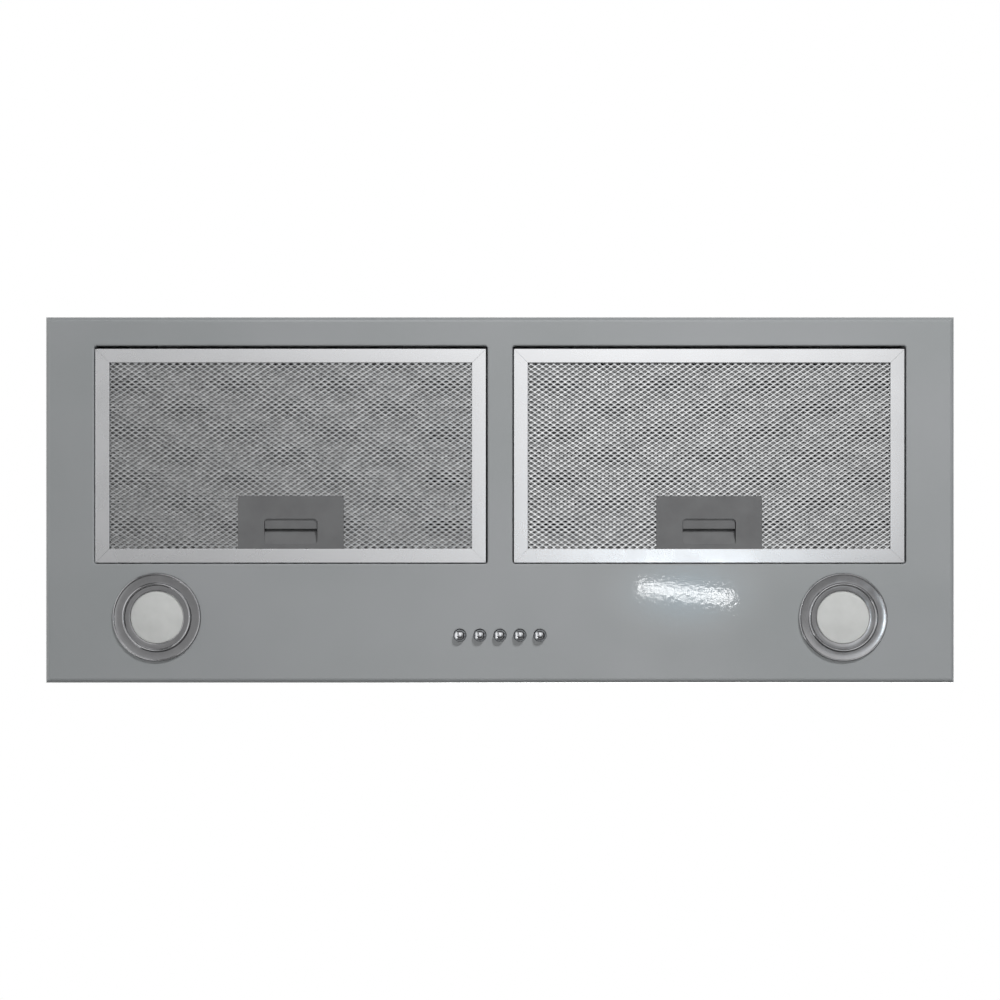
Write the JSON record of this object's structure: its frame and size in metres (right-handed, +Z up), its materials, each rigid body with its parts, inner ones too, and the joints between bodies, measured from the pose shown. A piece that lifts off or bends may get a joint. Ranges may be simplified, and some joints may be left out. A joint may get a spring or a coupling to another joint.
{
  "type": "built-in cooker hood",
  "caption": "Built-in cooker hood: a shallow steel fascia with lift-out mesh filters, round lamps and push buttons under a casing with a twin-inlet blower and round duct collar.",
  "frame": {"origin": "middle of the fascia's folded rim, in the plane where the rim meets the underside of the cabinet", "axes": "+Z up into the cabinet and along the duct, -Y towards the cook (lamps and buttons), +X along the fascia"},
  "size_m": [0.7, 0.282, 0.238],
  "materials": {
    "painted_steel": "gloss grey powder coat with a light orange-peel",
    "galvanised_steel": "satin zinc",
    "spring_steel": "satin",
    "filter_aluminium": "brushed",
    "mesh_aluminium": "expanded and flattened",
    "wire_pad": "knitted aluminium wire, mostly air",
    "grey_plastic": "fine texture",
    "black_plastic": "fine texture",
    "white_plastic": "smooth",
    "button_chrome": "polished",
    "ring_steel": "satin, turned",
    "frosted_glass": "frosted",
    "lamp_aluminium": "bright, drawn",
    "bulb_glass": "clear quartz",
    "motor_steel": "satin black",
    "core_steel": "stacked laminations",
    "copper": "varnished winding wire",
    "bronze": "sintered bronze",
    "shaft_steel": "ground"
  },
  "bodies": {
    "casing": {"fascia_panel": "painted_steel", "casing_shell": "galvanised_steel", "casing_front": "galvanised_steel", "casing_rear": "galvanised_steel", "casing_end_left": "galvanised_steel", "casing_end_right": "galvanised_steel", "spring_clips": "spring_steel", "scroll_wrap": "black_plastic", "scroll_left": "black_plastic", "scroll_right": "black_plastic", "motor_bracket": "galvanised_steel", "motor_rear_shield": "motor_steel", "motor_front_shield": "motor_steel", "motor_stator": "core_steel", "motor_windings": "copper", "motor_bearings": "bronze", "outlet_collar": "black_plastic", "flap_pin": "shaft_steel", "switch_body": "black_plastic", "switch_bracket": "galvanised_steel", "terminal_box": "white_plastic", "terminal_lid": "white_plastic", "capacitor": "white_plastic", "cable_bushing": "black_plastic", "lamp_rings": "ring_steel", "lamp_glasses": "frosted_glass", "lamp_cups": "lamp_aluminium", "lamp_bulbs": "bulb_glass"},
    "fan": {"blower_wheel": "galvanised_steel", "motor_shaft": "shaft_steel", "motor_rotor": "core_steel", "wheel_nut": "shaft_steel"},
    "flap_front": {"flap_front": "black_plastic"},
    "flap_rear": {"flap_rear": "black_plastic"},
    "button_1": {"button_1": "button_chrome"},
    "button_2": {"button_2": "button_chrome"},
    "button_3": {"button_3": "button_chrome"},
    "button_4": {"button_4": "button_chrome"},
    "button_5": {"button_5": "button_chrome"},
    "filter_left": {"filter_frame_left": "filter_aluminium", "filter_front_mesh_left": "mesh_aluminium", "filter_back_mesh_left": "mesh_aluminium", "filter_core_left": "wire_pad", "filter_hooks_left": "spring_steel", "latch_housing_left": "grey_plastic", "latch_spring_left": "spring_steel"},
    "latch_left": {"latch_slide_left": "grey_plastic"},
    "filter_right": {"filter_frame_right": "filter_aluminium", "filter_front_mesh_right": "mesh_aluminium", "filter_back_mesh_right": "mesh_aluminium", "filter_core_right": "wire_pad", "filter_hooks_right": "spring_steel", "latch_housing_right": "grey_plastic", "latch_spring_right": "spring_steel"},
    "latch_right": {"latch_slide_right": "grey_plastic"}
  },
  "joints": [
    {"name": "fan_spin", "type": "hinge", "parent": "casing", "child": "fan", "pos_m": [0, -0.0385, 0.092], "axis": [1, 0, 0], "continuous": true},
    {"name": "flap_front_swing", "type": "hinge", "parent": "casing", "child": "flap_front", "pos_m": [0, 0.02, 0.1827], "axis": [-1, 0, 0], "range_deg": [0, 75]},
    {"name": "flap_rear_swing", "type": "hinge", "parent": "casing", "child": "flap_rear", "pos_m": [0, 0.02, 0.1827], "axis": [1, 0, 0], "range_deg": [0, 75]},
    {"name": "button_1_press", "type": "slide", "parent": "casing", "child": "button_1", "axis": [0, 0, 1], "range_m": [0, 0.003], "stiffness_N_per_m": 300, "springref_m": -0.002},
    {"name": "button_2_press", "type": "slide", "parent": "casing", "child": "button_2", "axis": [0, 0, 1], "range_m": [0, 0.003], "stiffness_N_per_m": 300, "springref_m": -0.002},
    {"name": "button_3_press", "type": "slide", "parent": "casing", "child": "button_3", "axis": [0, 0, 1], "range_m": [0, 0.003], "stiffness_N_per_m": 300, "springref_m": -0.002},
    {"name": "button_4_press", "type": "slide", "parent": "casing", "child": "button_4", "axis": [0, 0, 1], "range_m": [0, 0.003], "stiffness_N_per_m": 300, "springref_m": -0.002},
    {"name": "button_5_press", "type": "slide", "parent": "casing", "child": "button_5", "axis": [0, 0, 1], "range_m": [0, 0.003], "stiffness_N_per_m": 300, "springref_m": -0.002},
    {"name": "filter_left_swing", "type": "hinge", "parent": "casing", "child": "filter_left", "pos_m": [-0.161, 0.1164, -0.01], "axis": [1, 0, 0], "range_deg": [0, 35]},
    {"name": "latch_left_slide", "type": "slide", "parent": "filter_left", "child": "latch_left", "axis": [0, 1, 0], "range_m": [0, 0.005], "stiffness_N_per_m": 400, "springref_m": -0.003, "deforming": ["latch_spring_left"]},
    {"name": "filter_right_swing", "type": "hinge", "parent": "casing", "child": "filter_right", "pos_m": [0.161, 0.1164, -0.01], "axis": [1, 0, 0], "range_deg": [0, 35]},
    {"name": "latch_right_slide", "type": "slide", "parent": "filter_right", "child": "latch_right", "axis": [0, 1, 0], "range_m": [0, 0.005], "stiffness_N_per_m": 400, "springref_m": -0.003, "deforming": ["latch_spring_right"]}
  ]
}
